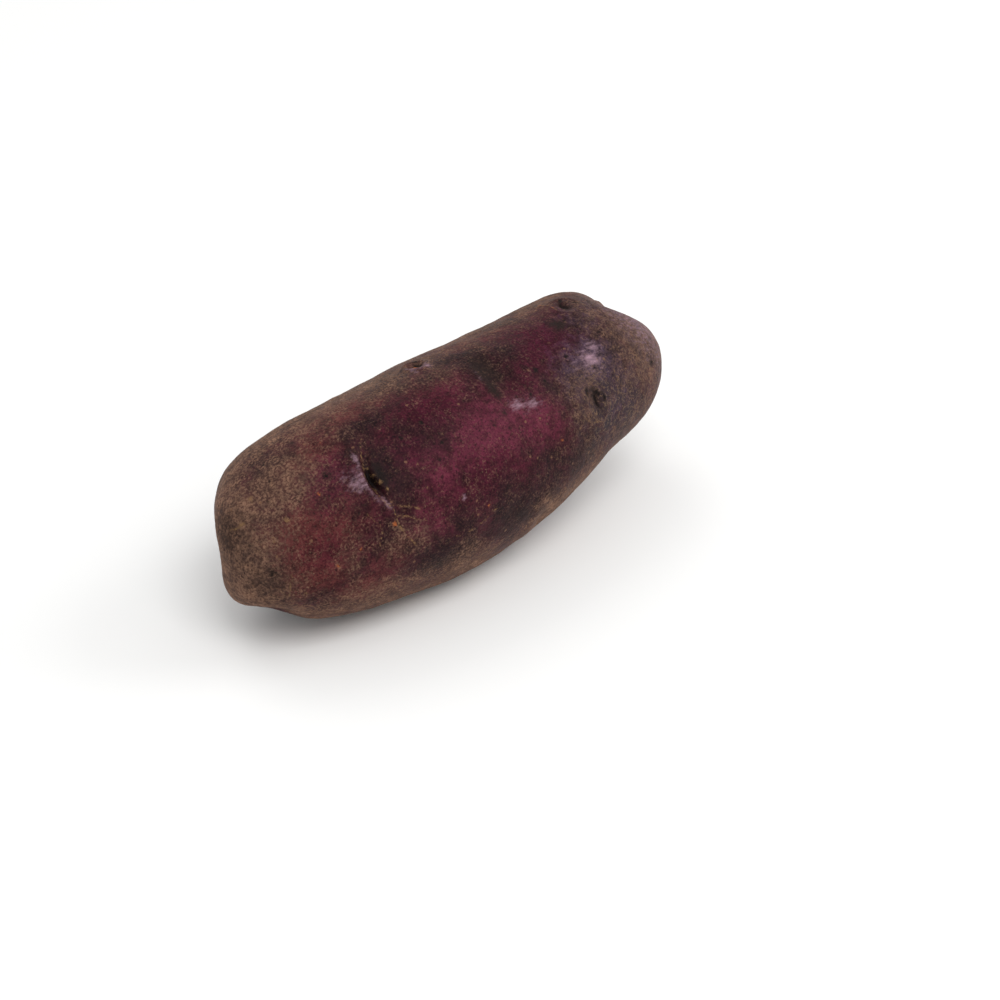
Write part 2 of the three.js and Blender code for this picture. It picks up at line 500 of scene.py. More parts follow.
# Each row is one patch: polar, turn, forward, aside, strength and, where it has one, lean.
PATCH_ROWS: dict[Tone, tuple[tuple[float, ...], ...]] = {
    Tone.RED: (
        (40, 58, 7, 5, 0.9), (37, 86, 6, 5, 0.9), (50, 110, 7, 3, 0.8), (50, 10, 8, 4, 0.6),
        (80, 16, 7, 5, 0.6), (64, 0, 9, 5, 0.7), (100, -14, 8, 5, 0.5), (58, 92, 6, 5, 0.5),
        (70, -70, 10, 6, 0.7), (55, -130, 9, 6, 0.6), (120, -130, 9, 7, 0.6),
    ),
    Tone.MAGENTA: (
        (87, 46, 8, 6, 1.0), (97, 53, 6, 5, 0.9), (86, 24, 6, 5, 0.6), (75, 56, 7, 5, 0.8),
        (50, 26, 4, 3, 0.6), (68, 80, 7, 4, 0.5), (112, -80, 11, 7, 0.9), (84, -100, 10, 6, 0.8),
        (100, 160, 12, 6, 0.6),
    ),
    Tone.WINE: (
        (110, 15, 7.5, 6, 1.0), (100, 30, 5, 4, 0.6), (78, 22, 7, 5, 0.8), (70, 36, 4, 4, 0.7),
        (84, 70, 7, 4, 0.6), (46, 44, 4, 5, 0.5), (40, 72, 5, 5, 0.5), (96, -96, 10, 8, 0.7),
        (70, -140, 9, 7, 0.6), (118, 170, 9, 8, 0.6), (140, 100, 7, 6, 0.7),
    ),
    # Dark purple patches; the row at polar 63.5 is painted shade in the deep eye's hollow, and the rows at
    # polar 92 and 108 are a painted shadow of a neighbouring potato on the lower front.
    Tone.DEEP_TONE_AND_SHADE: (
        (63.5, 44, 1.8, 4.0, 0.6), (74, 14, 7, 3, 0.4), (101, 9, 5, 3.5, 0.7), (72, 106, 8, 4, 0.8),
        (78, 64, 1.5, 1.5, 0.6), (104, 40, 1.5, 4, 0.6), (92, 98, 10, 6, 0.7), (108, 88, 7, 5, 0.6),
        (90, -64, 8, 5, 0.6), (66, -105, 7, 5, 0.6), (94.5, 12, 4, 6, 0.8, 8),
    ),
    Tone.VIOLET: (
        (118, 52, 8, 8, 0.9), (125, 75, 8, 7, 0.7), (128, 12, 6, 5, 0.6), (138, -80, 8, 8, 0.7),
        (146, 40, 7, 8, 0.8), (150, 120, 8, 10, 0.6),
    ),
    Tone.FILM_AND_RIM_SHEEN: (
        (142, 96, 6, 6, -0.6), (146, -120, 7, 8, -0.5), (136, 40, 5, 5, -0.4),
        (47, 80, 2.5, 5, 0.5), (58, 118, 12, 3, 0.6), (88, 4, 2.5, 5, 0.5), (30, 20, 7, 8, 0.6),
        (140, 60, 7, 14, 0.6), (62, 84, 6, 3, 0.4), (60, -18, 12, 6, 0.6), (68, -30, 18, 7, 0.9),
        (76, -4, 9, 4, 0.5), (104, -30, 10, 5, 0.7), (90, -18, 8, 4, 0.5), (108, 14, 9, 8, -0.9),
        (95, 48, 10, 9, -0.8), (75, 34, 9, 8, -0.8), (49, 40, 6, 6, -0.6), (38, 72, 6, 6, -0.4),
        (38, 14, 7, 6, 0.6), (118, 42, 5, 5, -0.6), (98, -100, 12, 10, -0.7),
        (60, -125, 10, 8, -0.5), (114, 60, 5, 5, 0.55),
    ),
    Tone.NET: (
        (117, 72, 8, 8, 1.0), (128, 88, 9, 7, 0.8), (134, 24, 7, 8, 0.6), (140, 65, 8, 12, 0.7),
        (150, 180, 10, 14, 0.8), (16, 60, 8, 12, 0.5), (24, -120, 8, 9, 0.6),
    ),
    # Dark smudges; the row at polar 60.9 is painted shade along the deep eye's slit.
    Tone.SMUDGE_AND_EYE_SHADE: (
        (94.2, 12, 2.4, 4.0, 0.72, 8), (92.5, 27, 1.1, 2.6, 0.9, 8), (91.6, 41, 0.5, 0.8, 0.8),
        (118.5, 10, 1.7, 1.9, 0.9), (126, -2, 1.0, 2.0, 0.9), (11, 8, 4.5, 5.0, 0.70),
        (21, 95, 5.5, 5.0, 0.60), (50, 28, 1.3, 1.6, 0.55), (88, 96, 4.0, 2.0, 0.5, 20),
        (12, 70, 5.0, 5.0, 0.5), (115, 61, 1.4, 2.2, 0.9), (60.9, 45, 1.0, 3.6, 0.8, 4),
        (57.5, 26, 1.2, 1.6, 0.6), (116.5, 67, 2.3, 2.3, 0.4),
    ),
    # Painted shade, near black, in the slits, pits and cracks of the deep eye, the bud cluster, the small
    # top eye and the crown eye.
    Tone.PORE_AND_SLIT_SHADE: (
        (60.9, 45, 0.6, 3.0, 0.75, 4), (112.8, 56, 0.4, 0.9, 1.0, 30),
        (116.2, 60.5, 0.4, 0.9, 1.0, -30), (117.6, 66.5, 0.35, 0.8, 1.0, 20),
        (88, -20, 0.6, 0.7, 1.0), (127, -8, 0.5, 0.8, 0.9, 40), (124.6, 2, 0.5, 0.8, 0.8),
    ),
    Tone.LINE: (
        (59.2, 37, 0.5, 0.5, 0.9), (59.5, 42.5, 0.45, 0.6, 1.0), (60.1, 48, 0.45, 0.7, 1.05),
        (60.8, 53.5, 0.4, 0.5, 0.95), (36, 10, 0.45, 0.6, 1.0), (28, 6, 0.6, 1.0, 1.0),
        (19, 17, 0.7, 0.8, 1.0), (33, 40, 0.5, 0.6, 1.0), (26, 50, 0.5, 0.7, 1.0),
    ),
    # Pale scuffs; the rows at polar 52.5 to 57.4 on the deep eye's brow, 95 to 98 on the middle hump and 118
    # to 122 on the bud shoulder are painted highlights, and the rows at polar 140 and 151 lighten the bud
    # end.
    Tone.SCUFF_AND_HIGHLIGHT: (
        (84.6, -8, 0.5, 1.2, 0.6), (55, 43, 1.4, 1.2, 0.8, 10), (57.4, 31, 0.4, 1.3, 0.8, 10),
        (59.4, 60, 0.5, 1.6, 0.6, -20), (52.5, 37, 1.3, 0.9, 0.5, 10), (95, 41, 1.6, 1.0, 0.8, 20),
        (98, 44, 1.5, 1.0, 0.6, 20), (119, 42, 2.4, 1.6, 0.9, 20), (122, 37, 1.6, 1.3, 0.7, 30),
        (118, 43, 5, 3.2, 0.40, 20), (97, 43, 4.5, 2.0, 0.32, 20), (54, 39, 2.6, 2.6, 0.3),
        (151, 36, 7, 10, 0.56), (140, 10, 5, 5, 0.32), (76.7, 74, 0.4, 0.5, 1.0),
        (87.5, -9, 1.0, 1.2, 0.7),
    ),
    Tone.ORANGE: (
        (59.6, 73, 0.45, 0.6, 1.0), (86.5, -15, 0.65, 0.7, 1.0), (82, 84, 0.5, 0.5, 0.9),
        (45, 36, 0.4, 0.5, 0.9), (54, 9, 0.5, 0.5, 0.8), (43, 86, 0.5, 0.6, 0.8),
        (50, 80, 0.4, 0.5, 0.8), (102, 70, 0.5, 0.5, 0.8), (66, -76, 0.5, 0.7, 0.9),
        (112, -98, 0.6, 0.6, 0.9), (84, 150, 0.5, 0.6, 0.9), (122, -16, 0.5, 0.8, 0.9),
        (122.5, -4, 0.4, 0.6, 0.9), (113, 56, 0.4, 0.5, 0.7),
    ),
}
PATCHES = tuple(Patch(tone, *row) for tone, rows in PATCH_ROWS.items() for row in rows)

DARK_PORES = (
    (75.3, 29, 0.55), (76.6, 43, 0.5), (103.6, 28, 0.6), (113, 31, 0.55), (99, 39, 0.45),
    (69.3, 32, 0.45), (104, 36, 0.4), (49, 29, 0.5), (22, 82, 0.6), (142, 77, 0.7), (74.5, 51, 0.4),
    (95, -70, 0.6), (80, -85, 0.55), (64, -120, 0.5), (108, -110, 0.6), (120, 150, 0.55),
)

CREASES = (
    Crease("brow line of the deep eye",
           ((62, 20), (59.2, 30), (57.7, 42), (58.4, 53), (60.2, 65)), 0.22, 0.28),
    Crease("tail of the brow line", ((60.2, 65), (60.4, 73), (62, 82), (64, 90)), 0.12, 0.22),
    Crease("fold below the deep eye", ((60.5, 62), (63, 66), (66, 70), (70, 73)), 0.10, 0.20),
    Crease("second fold", ((61, 69), (64, 74), (67, 77)), 0.08, 0.18),
    Crease("scratch at the stem end", ((11.5, -2), (13, 6), (16, 13), (19, 17)), 0.10, 0.22),
    Crease("long scratch on the stem cheek", ((28, 84), (28, 94), (27, 108)), 0.06, 0.18),
    Crease("short scratch on the stem cheek", ((33, 103), (32.5, 112)), 0.06, 0.16),
    Crease("fine line on the front", ((74, 94), (79, 93), (84, 88)), 0.06, 0.16),
    Crease("fine line under the eye", ((54, 62), (56, 72), (55, 82)), 0.06, 0.16),
    Crease("fold under the bud cluster", ((110, 68), (112, 75), (116, 79)), 0.08, 0.18),
    Crease("fold past the bud cluster", ((124, 56), (125, 64), (123, 72)), 0.08, 0.18),
    Crease("fold above the crown eye", ((121, -16), (123, -8), (122, 0)), 0.08, 0.20),
    Crease("back scratch", ((60, -70), (66, -74), (74, -73)), 0.08, 0.18),
)


@dataclass(frozen=True)
class Marks:
    """Works out the tones of the skin at each point of the plain body, painted shade, highlights and sheen
    among them.
    """

    body: TuberBody
    noise: LatticeNoise

    def eye(self, eye: Eye, points: np.ndarray) -> dict[Tone, np.ndarray]:
        """How an eye colours the skin: painted shade in its slit, pit, cracks and hollow, a painted
        highlight along its brow, and pale along one side of a ring's rim.

        Args:
            eye: The eye.
            points: Points of the plain body, in millimetres.

        Returns:
            The strength of each tone that the eye brings.
        """
        shaper = EyeRelief()
        forward, aside = SkinPlace.on(self.body, eye.polar, eye.turn, eye.lean).offsets(points)
        forward, aside = forward / eye.width, aside / eye.width
        out = np.hypot(forward, aside)
        if eye.kind is EyeKind.RING:
            # The ring's pit is painted shade inside its rim.
            pit = fade(out - 0.20, 0.09) * smooth_step(forward, -0.05, 0.15)
            return {Tone.PORE_AND_SLIT_SHADE: pit, Tone.SCUFF_AND_HIGHLIGHT: 0.55 * fade(out - 0.44, 0.08) * smooth_step(aside, -0.2, 0.3)}
        if eye.kind is EyeKind.CLUSTER:
            # The crack and the sunken middle are painted shade in the recess.
            crack = fade(forward + 0.25 * aside, 0.055) * fade(aside, 0.20)
            second = fade(forward - 0.28 - 0.5 * aside, 0.05) * fade(aside - 0.1, 0.14)
            return {Tone.PORE_AND_SLIT_SHADE: np.maximum(crack, 0.8 * second), Tone.SMUDGE_AND_EYE_SHADE: 0.30 * fade(out, 0.30)}
        # The slit and the hollow are painted shade in the recess; the brow is a painted highlight.
        past = shaper.brow_distance(forward, aside)
        slit = fade(past - 0.13, 0.09) * fade(aside, 0.27)
        hollow = fade(forward - 0.16, 0.20) * fade(aside, 0.32)
        brow = fade(past + 0.03, 0.05) * fade(aside, 0.34)
        share = 1.0 if eye.kind is EyeKind.CRESCENT else 0.45
        share *= min(1.0, eye.width / 9)
        return {Tone.PORE_AND_SLIT_SHADE: share * slit, Tone.DEEP_TONE_AND_SHADE: 0.8 * hollow, Tone.SCUFF_AND_HIGHLIGHT: 0.6 * share * brow}

    def patch(self, patch: Patch, points: np.ndarray) -> np.ndarray:
        """The strength of one oval patch at each point, from 0 to its strength.

        Args:
            patch: The patch.
            points: Points of the plain body, in millimetres.

        Returns:
            The strength at each point.
        """
        place = SkinPlace.on(self.body, patch.polar, patch.turn, patch.lean)
        forward, aside = place.offsets(points)
        return patch.strength * fade(forward, patch.forward) * fade(aside, patch.aside)

    def film(self, polar: np.ndarray, turn: np.ndarray, points: np.ndarray) -> np.ndarray:
        """The dried soil film: at both ends, along the back and under the belly, and patchy. The band along
        the back and under the belly is partly a painted sheen on the edges.

        Args:
            polar: Polar angles in degrees.
            turn: Turn angles in degrees.
            points: Points of the plain body, in millimetres.

        Returns:
            The film's share, from 0 to 1.
        """
        stray = 22 * self.noise.layers(points + 50, 11.0, 4)
        stem = 0.85 * smooth_step(-polar - stray, -54, -8)
        bud = 0.78 * smooth_step(polar + stray, 108, 156)
        # The band along the back and under the belly rises where the skin turns away from the front, turn
        # 48: partly soil film, partly a painted sheen.
        from_front = np.abs((turn - 48 + 180) % 360 - 180) + 1.3 * stray
        rim = 0.82 * smooth_step(from_front, 40, 90)
        behind = 0.62 * smooth_step(from_front, 90, 126)
        patchy = 0.50 * self.noise.layers(points, 13.0, 4)
        return np.clip(np.maximum(np.maximum(stem, bud), rim - behind) + patchy, 0.0, 1.0)


# ---------------------------------------------------------------- the skin's finish

def channel(value: int) -> float:
    """One channel of 0 to 255 by the inverse of the screen's curve, from 0 to 1."""
    v = value / 255
    return v / 12.92 if v <= 0.04045 else ((v + 0.055) / 1.055) ** 2.4


def linear(red: int, green: int, blue: int) -> tuple[float, float, float, float]:
    """A colour of 0 to 255 screen values as linear red, green, blue and an alpha of 1."""
    return channel(red), channel(green), channel(blue), 1.0


class NodeBench:
    """Short ways to add the nodes that a skin is made of. Lengths are millimetres."""

    def __init__(self, material: bpy.types.Material) -> None:
        """Clears the material's nodes and sets up its coordinates in millimetres."""
        self.tree = material.node_tree
        self.tree.nodes.clear()
        coordinates = self.add("ShaderNodeTexCoord")
        self.place = self.scaled(coordinates.outputs["Object"], (1 / MM, 1 / MM, 1 / MM))

    def add(self, kind: str) -> bpy.types.ShaderNode:
        """A new node of that kind."""
        return self.tree.nodes.new(kind)

    def join(self, source: bpy.types.NodeSocket, target: bpy.types.NodeSocket) -> None:
        """Links an output to an input."""
        self.tree.links.new(source, target)

    def feed(self, target: bpy.types.NodeSocket, value: object) -> None:
        """Links a socket to the target, or sets a plain number or colour on it.

        Args:
            target: The input.
            value: A socket, a number or a colour.
        """
        if isinstance(value, bpy.types.NodeSocket):
            self.join(value, target)
        else:
            target.default_value = value

    def scaled(self, vector: bpy.types.NodeSocket, scale: tuple[float, ...]) -> bpy.types.NodeSocket:
        """The vector times a scale along each axis.

        Args:
            vector: The vector.
            scale: The scale along X, Y and Z.

        Returns:
            The scaled vector.
        """
        node = self.add("ShaderNodeVectorMath")
        node.operation = "MULTIPLY"
        self.join(vector, node.inputs[0])
        node.inputs[1].default_value = scale
        return node.outputs[0]

    def math(self, operation: str, first: object, second: object = 0.0) -> bpy.types.NodeSocket:
        """One sum on two numbers.

        Args:
            operation: The sum's name.
            first: A socket or a number.
            second: A socket or a number.

        Returns:
            The result.
        """
        node = self.add("ShaderNodeMath")
        node.operation = operation
        self.feed(node.inputs[0], first)
        self.feed(node.inputs[1], second)
        return node.outputs[0]

    def blend(self, share: object, first: object, second: object, way: str = "MIX") -> bpy.types.NodeSocket:
        """Two colours mixed by a share from 0 to 1.

        Args:
            share: How much of the second shows.
            first: The colour below.
            second: The colour above.
            way: How the second is laid on the first.

        Returns:
            The mixed colour.
        """
        node = self.add("ShaderNodeMix")
        node.data_type = "RGBA"
        node.blend_type = way
        self.feed(node.inputs[0], share)
        self.feed(node.inputs[6], first)
        self.feed(node.inputs[7], second)
        return node.outputs[2]

    def eased(self, value: bpy.types.NodeSocket, low: float, high: float,
              top: float = 1.0) -> bpy.types.NodeSocket:
        """0 below low, top above high, and a smooth rise between.

        Args:
            value: What to ease.
            low: Where the rise starts.
            high: Where it ends.
            top: The highest value.

        Returns:
            The eased value.
        """
        node = self.add("ShaderNodeMapRange")
        node.interpolation_type = "SMOOTHSTEP"
        self.join(value, node.inputs["Value"])
        node.inputs["From Min"].default_value = low
        node.inputs["From Max"].default_value = high
        node.inputs["To Max"].default_value = top
        return node.outputs["Result"]

    def noise(self, size: float, detail: float = 3.0, rough: float = 0.55, bend: float = 0.0,
              vector: bpy.types.NodeSocket | None = None) -> bpy.types.NodeSocket:
        """Cloudy noise about 0.5 with features of that size in millimetres.

        Args:
            size: The size of its features, in millimetres.
            detail: How many finer layers it has.
            rough: How strong the finer layers are.
            bend: How much it is bent.
            vector: Where it is read, or nothing for the potato's own coordinates.

        Returns:
            The noise.
        """
        node = self.add("ShaderNodeTexNoise")
        self.join(vector or self.place, node.inputs["Vector"])
        node.inputs["Scale"].default_value = 1 / size
        node.inputs["Detail"].default_value = detail
        node.inputs["Roughness"].default_value = rough
        node.inputs["Distortion"].default_value = bend
        return node.outputs["Fac"]

    def cells(self, size: float, feature: str, output: str = "Distance",
              vector: bpy.types.NodeSocket | None = None) -> bpy.types.NodeSocket:
        """A pattern of random cells of that size in millimetres.

        Args:
            size: The size of a cell, in millimetres.
            feature: What is measured in a cell.
            output: The name of the output.
            vector: Where it is read, or nothing for the potato's own coordinates.

        Returns:
            The chosen output.
        """
        node = self.add("ShaderNodeTexVoronoi")
        node.feature = feature
        self.join(vector or self.place, node.inputs["Vector"])
        node.inputs["Scale"].default_value = 1 / size
        return node.outputs[output]

    def mark(self, tone: Tone) -> bpy.types.NodeSocket:
        """The strength of one tone, from the mesh.

        Args:
            tone: The tone.

        Returns:
            The strength.
        """
        node = self.add("ShaderNodeAttribute")
        node.attribute_name = tone.value
        return node.outputs["Fac"]


@dataclass(frozen=True)
class PurpleSkin:
    """The raw skin: purple and magenta, under a patchy film of dried soil and russet, with painted shade in
    the eyes, a painted shadow on the lower front, painted highlights and a painted sheen along the rims.
    """

    name: str = "purple_skin"
    base: tuple[float, ...] = linear(76, 28, 40)
    dark_base: tuple[float, ...] = linear(46, 19, 26)
    red: tuple[float, ...] = linear(100, 46, 46)
    magenta: tuple[float, ...] = linear(100, 36, 56)
    wine: tuple[float, ...] = linear(72, 10, 36)
    # dark purple, also used for the painted shade in the eyes' hollows and the painted shadow on the lower
    # front
    deep: tuple[float, ...] = linear(34, 13, 19)
    violet: tuple[float, ...] = linear(72, 54, 72)
    # The veil and the film are laid by the film tone, so they also paint a sheen along the top and belly
    # edges.
    veil: tuple[float, ...] = linear(104, 76, 64)
    film: tuple[float, ...] = linear(150, 114, 93)
    film_dark: tuple[float, ...] = linear(78, 58, 51)
    net: tuple[float, ...] = linear(146, 116, 88)
    net_cell: tuple[float, ...] = linear(40, 32, 40)
    # the colour of the dark smudges and of the painted shade in the deep eye's slit and the bud cluster's
    # middle
    smudge: tuple[float, ...] = linear(34, 22, 20)
    # the colour of the pale scuffs and of the painted highlights
    pale: tuple[float, ...] = linear(164, 131, 145)
    orange: tuple[float, ...] = linear(150, 84, 48)
    line: tuple[float, ...] = linear(126, 96, 66)
    # the near black of the pores, of the dust's pinpricks, and of the painted shade in the eyes' slits, pits
    # and cracks
    pit: tuple[float, ...] = linear(19, 12, 11)
    fleck: tuple[float, ...] = linear(126, 92, 70)
    roughness: float = 0.48
    film_roughness: float = 0.78
    specular: float = 0.08
    sheen: float = 0.02
    sheen_roughness: float = 0.4
    sheen_tint: tuple[float, ...] = linear(214, 186, 160)
    grain_depth: float = 0.13

    def material(self) -> bpy.types.Material:
        """Builds the skin: a stack of tones on the base, then its gloss and its fine grain.

        Returns:
            The finished material.
        """
        material = bpy.data.materials.new(self.name)
        material.use_nodes = True
        bench = NodeBench(material)
        film = self.film_share(bench)
        net = self.net_share(bench)
        colour = self.ground(bench)
        # The veil and the film follow the film tone: soil film, and a painted sheen along the top and belly
        # edges.
        colour = bench.blend(bench.eased(bench.mark(Tone.FILM_AND_RIM_SHEEN), 0.1, 1.0, 0.5), colour, self.veil)
        colour = bench.blend(film, colour, self.film_colour(bench))
        colour = self.netting(bench, net, colour)
        colour = self.spots(bench, colour)
        shader = bench.add("ShaderNodeBsdfPrincipled")
        bench.join(colour, shader.inputs["Base Color"])
        rough = bench.math("MULTIPLY_ADD", film, self.film_roughness - self.roughness)
        rough.node.inputs[2].default_value = self.roughness
        bench.join(rough, shader.inputs["Roughness"])
        shader.inputs["Specular IOR Level"].default_value = self.specular
        shader.inputs["Sheen Weight"].default_value = self.sheen
        shader.inputs["Sheen Roughness"].default_value = self.sheen_roughness
        shader.inputs["Sheen Tint"].default_value = self.sheen_tint
        bench.join(self.grain(bench, film, net), shader.inputs["Normal"])
        output = bench.add("ShaderNodeOutputMaterial")
        bench.join(shader.outputs["BSDF"], output.inputs["Surface"])
        return material

    def masked(self, bench: NodeBench, tone: Tone, noise: bpy.types.NodeSocket, spread: float,
               low: float = 0.2, high: float = 0.75) -> bpy.types.NodeSocket:
        """A tone's strength with its edge broken up by noise.

        Args:
            bench: Where the nodes go.
            tone: The tone.
            noise: Noise about 0.5.
            spread: How much the noise moves the edge.
            low: Strength at which the tone starts to show.
            high: Strength at which it is full.

        Returns:
            A share from 0 to 1.
        """
        moved = bench.math("MULTIPLY", bench.math("SUBTRACT", noise, 0.5), spread)
        strength = bench.mark(tone)
        sum_of = bench.math("ADD", strength, bench.math("MULTIPLY", moved, bench.eased(strength, 0.0, 0.3)))
        return bench.eased(sum_of, low, high)

    def ground(self, bench: NodeBench) -> bpy.types.NodeSocket:
        """The purple ground: its red, magenta, deep and violet patches, and its fine speckle; the deep
        patches also hold painted shade in the eyes and a painted shadow on the lower front.

        Args:
            bench: Where the nodes go.

        Returns:
            The ground's colour.
        """
        clouds = bench.noise(8.0, 5.0, 0.62, 0.4)
        mottle = bench.noise(1.8, 4.0, 0.65)
        speckle = bench.noise(0.42, 3.0, 0.7)
        colour = bench.blend(bench.eased(clouds, 0.36, 0.66), self.dark_base, self.base)
        colour = bench.blend(self.masked(bench, Tone.RED, clouds, 1.2, 0.15, 0.9), colour, self.red)
        colour = bench.blend(self.masked(bench, Tone.MAGENTA, clouds, 1.2, 0.1, 0.95), colour, self.magenta)
        colour = bench.blend(self.masked(bench, Tone.WINE, clouds, 1.0, 0.1, 0.9), colour, self.wine)
        colour = bench.blend(self.masked(bench, Tone.VIOLET, mottle, 1.0, 0.2, 1.0), colour, self.violet)
        # The deep patches include painted shade in the eyes and a painted shadow on the lower front.
        colour = bench.blend(self.masked(bench, Tone.DEEP_TONE_AND_SHADE, clouds, 1.0, 0.2, 0.9), colour, self.deep)
        shaded = bench.blend(1.0, colour, linear(178, 168, 172), "MULTIPLY")
        colour = bench.blend(bench.eased(mottle, 0.3, 0.7), shaded, colour)
        shaded = bench.blend(1.0, colour, linear(128, 124, 128), "MULTIPLY")
        colour = bench.blend(bench.eased(speckle, 0.30, 0.5), shaded, colour)
        return bench.blend(bench.eased(speckle, 0.52, 0.78, 0.26), colour, self.fleck)

    def film_share(self, bench: NodeBench) -> bpy.types.NodeSocket:
        """How much soil film shows, with the painted sheen along the rims: more where the tone is strong,
        broken up by fine grain.

        Args:
            bench: Where the nodes go.

        Returns:
            The film's share, from 0 to 1.
        """
        fine = bench.noise(0.5, 3.0, 0.72)
        patchy = bench.noise(3.4, 4.0, 0.65, 0.6)
        lifted = bench.math("MULTIPLY_ADD", bench.math("SUBTRACT", fine, 0.5), 2.2)
        bench.join(bench.math("MULTIPLY", bench.math("SUBTRACT", patchy, 0.5), 1.0), lifted.node.inputs[2])
        total = bench.math("ADD", bench.mark(Tone.FILM_AND_RIM_SHEEN), lifted)
        return bench.eased(total, 0.02, 1.05, 0.92)

    def film_colour(self, bench: NodeBench) -> bpy.types.NodeSocket:
        """Tan soil with greyer and darker places.

        Args:
            bench: Where the nodes go.

        Returns:
            The film's colour.
        """
        broad = bench.eased(bench.noise(2.2, 5.0, 0.7), 0.26, 0.72)
        tinted = bench.blend(broad, self.film_dark, self.film)
        dark = bench.blend(1.0, tinted, linear(176, 170, 170), "MULTIPLY")
        return bench.blend(bench.eased(bench.noise(0.5, 2.0, 0.6), 0.36, 0.58), dark, tinted)

    def net_share(self, bench: NodeBench) -> bpy.types.NodeSocket:
        """The threads of the russet net: the borders of small bent cells.

        Args:
            bench: Where the nodes go.

        Returns:
            The threads' share, from 0 to 1.
        """
        bend = bench.add("ShaderNodeTexNoise")
        bench.join(bench.place, bend.inputs["Vector"])
        bend.inputs["Scale"].default_value = 0.9
        bend.inputs["Detail"].default_value = 2.0
        moved = bench.add("ShaderNodeVectorMath")
        moved.operation = "MULTIPLY_ADD"
        bench.join(bend.outputs["Color"], moved.inputs[0])
        moved.inputs[1].default_value = (2.0, 2.0, 2.0)
        bench.join(bench.place, moved.inputs[2])
        border = bench.cells(0.95, "DISTANCE_TO_EDGE", vector=moved.outputs[0])
        thread = bench.math("SUBTRACT", 1.0, bench.eased(border, 0.01, 0.15))
        broken = bench.eased(bench.noise(0.9, 4.0, 0.7), 0.42, 0.62)
        kept = bench.math("MULTIPLY", thread, broken)
        return bench.math("MULTIPLY", kept, bench.eased(bench.mark(Tone.NET), 0.15, 0.9))

    def netting(self, bench: NodeBench, net: bpy.types.NodeSocket,
                colour: bpy.types.NodeSocket) -> bpy.types.NodeSocket:
        """Darkens the cells of the net in patches and lays its tan threads over them.

        Args:
            bench: Where the nodes go.
            net: The net threads' share.
            colour: The colour under the net.

        Returns:
            The colour with the net.
        """
        patchy = bench.eased(bench.noise(2.0, 3.0, 0.6), 0.35, 0.62)
        inside = bench.math("MULTIPLY", bench.eased(bench.mark(Tone.NET), 0.2, 1.0, 0.75), patchy)
        colour = bench.blend(inside, colour, self.net_cell)
        return bench.blend(bench.math("MULTIPLY", net, 0.5), colour, self.net)

    def spots(self, bench: NodeBench, colour: bpy.types.NodeSocket) -> bpy.types.NodeSocket:
        """Smudges, scuffs, tan lines, orange flecks and pores, each over the last; the smudges and pores
        also lay painted shade in the eyes, and the scuffs lay painted highlights.

        Args:
            bench: Where the nodes go.
            colour: The colour under them.

        Returns:
            The finished colour.
        """
        fine = bench.noise(0.6, 3.0, 0.7)
        streaks = bench.noise(0.9, 4.0, 0.7, vector=bench.scaled(bench.place, (0.5, 1.2, 1.2)))
        colour = self.dust(bench, colour)
        # The smudges and pores also paint shade in the eyes; the scuffs also paint highlights.
        colour = bench.blend(self.masked(bench, Tone.SMUDGE_AND_EYE_SHADE, fine, 1.3, 0.15, 1.0), colour, self.smudge)
        colour = bench.blend(self.masked(bench, Tone.SCUFF_AND_HIGHLIGHT, streaks, 2.0, 0.15, 1.45), colour, self.pale)
        colour = bench.blend(self.masked(bench, Tone.PORE_AND_SLIT_SHADE, fine, 1.1, 0.25, 0.95), colour, self.pit)
        colour = bench.blend(self.masked(bench, Tone.LINE, fine, 2.3, 0.5, 1.4), colour, self.line)
        return bench.blend(self.masked(bench, Tone.ORANGE, fine, 1.4, 0.5, 1.0), colour, self.orange)

    def dust(self, bench: NodeBench, colour: bpy.types.NodeSocket) -> bpy.types.NodeSocket:
        """Scattered tan flakes and dark pinpricks, in cells of about a millimetre.

        Args:
            bench: Where the nodes go.
            colour: The colour under them.

        Returns:
            The colour with the flakes and the pinpricks.
        """
        fine = bench.noise(0.5, 2.0, 0.6)
        for size, share, tint, wide in ((1.9, 0.86, self.fleck, 0.20), (1.7, 0.76, self.pit, 0.24)):
            spot = bench.add("ShaderNodeTexVoronoi")
            bench.join(bench.place, spot.inputs["Vector"])
            spot.inputs["Scale"].default_value = 1 / size
            split = bench.add("ShaderNodeSeparateColor")
            bench.join(spot.outputs["Color"], split.inputs[0])
            chosen = bench.math("GREATER_THAN", split.outputs[0], share)
            ragged = bench.math("MULTIPLY_ADD", bench.math("SUBTRACT", fine, 0.5), 0.5)
            bench.join(spot.outputs["Distance"], ragged.node.inputs[2])
            near = bench.math("SUBTRACT", 1.0, bench.eased(ragged, wide * 0.4, wide))
            shown = bench.math("MULTIPLY", bench.math("MULTIPLY", chosen, near), 0.6)
            colour = bench.blend(shown, colour, tint)
        return colour

    def grain(self, bench: NodeBench, film: bpy.types.NodeSocket,
              net: bpy.types.NodeSocket) -> bpy.types.NodeSocket:
        """The finest relief, which no mesh face can hold: grain, soil crumbs and net threads.

        Args:
            bench: Where the nodes go.
            film: The soil film's share.
            net: The net threads' share.

        Returns:
            The bumped normal.
        """
        fine = bench.noise(0.5, 4.0, 0.65)
        coarse = bench.noise(1.5, 3.0, 0.6)
        height = bench.math("ADD", bench.math("MULTIPLY", fine, 0.6), bench.math("MULTIPLY", coarse, 1.2))
        height = bench.math("ADD", height, bench.math("MULTIPLY", film, 0.25))
        height = bench.math("ADD", height, bench.math("MULTIPLY", net, 0.7))
        bump = bench.add("ShaderNodeBump")
        bump.inputs["Distance"].default_value = self.grain_depth * MM
        bench.join(height, bump.inputs["Height"])
        return bump.outputs["Normal"]


# ---------------------------------------------------------------- the potato

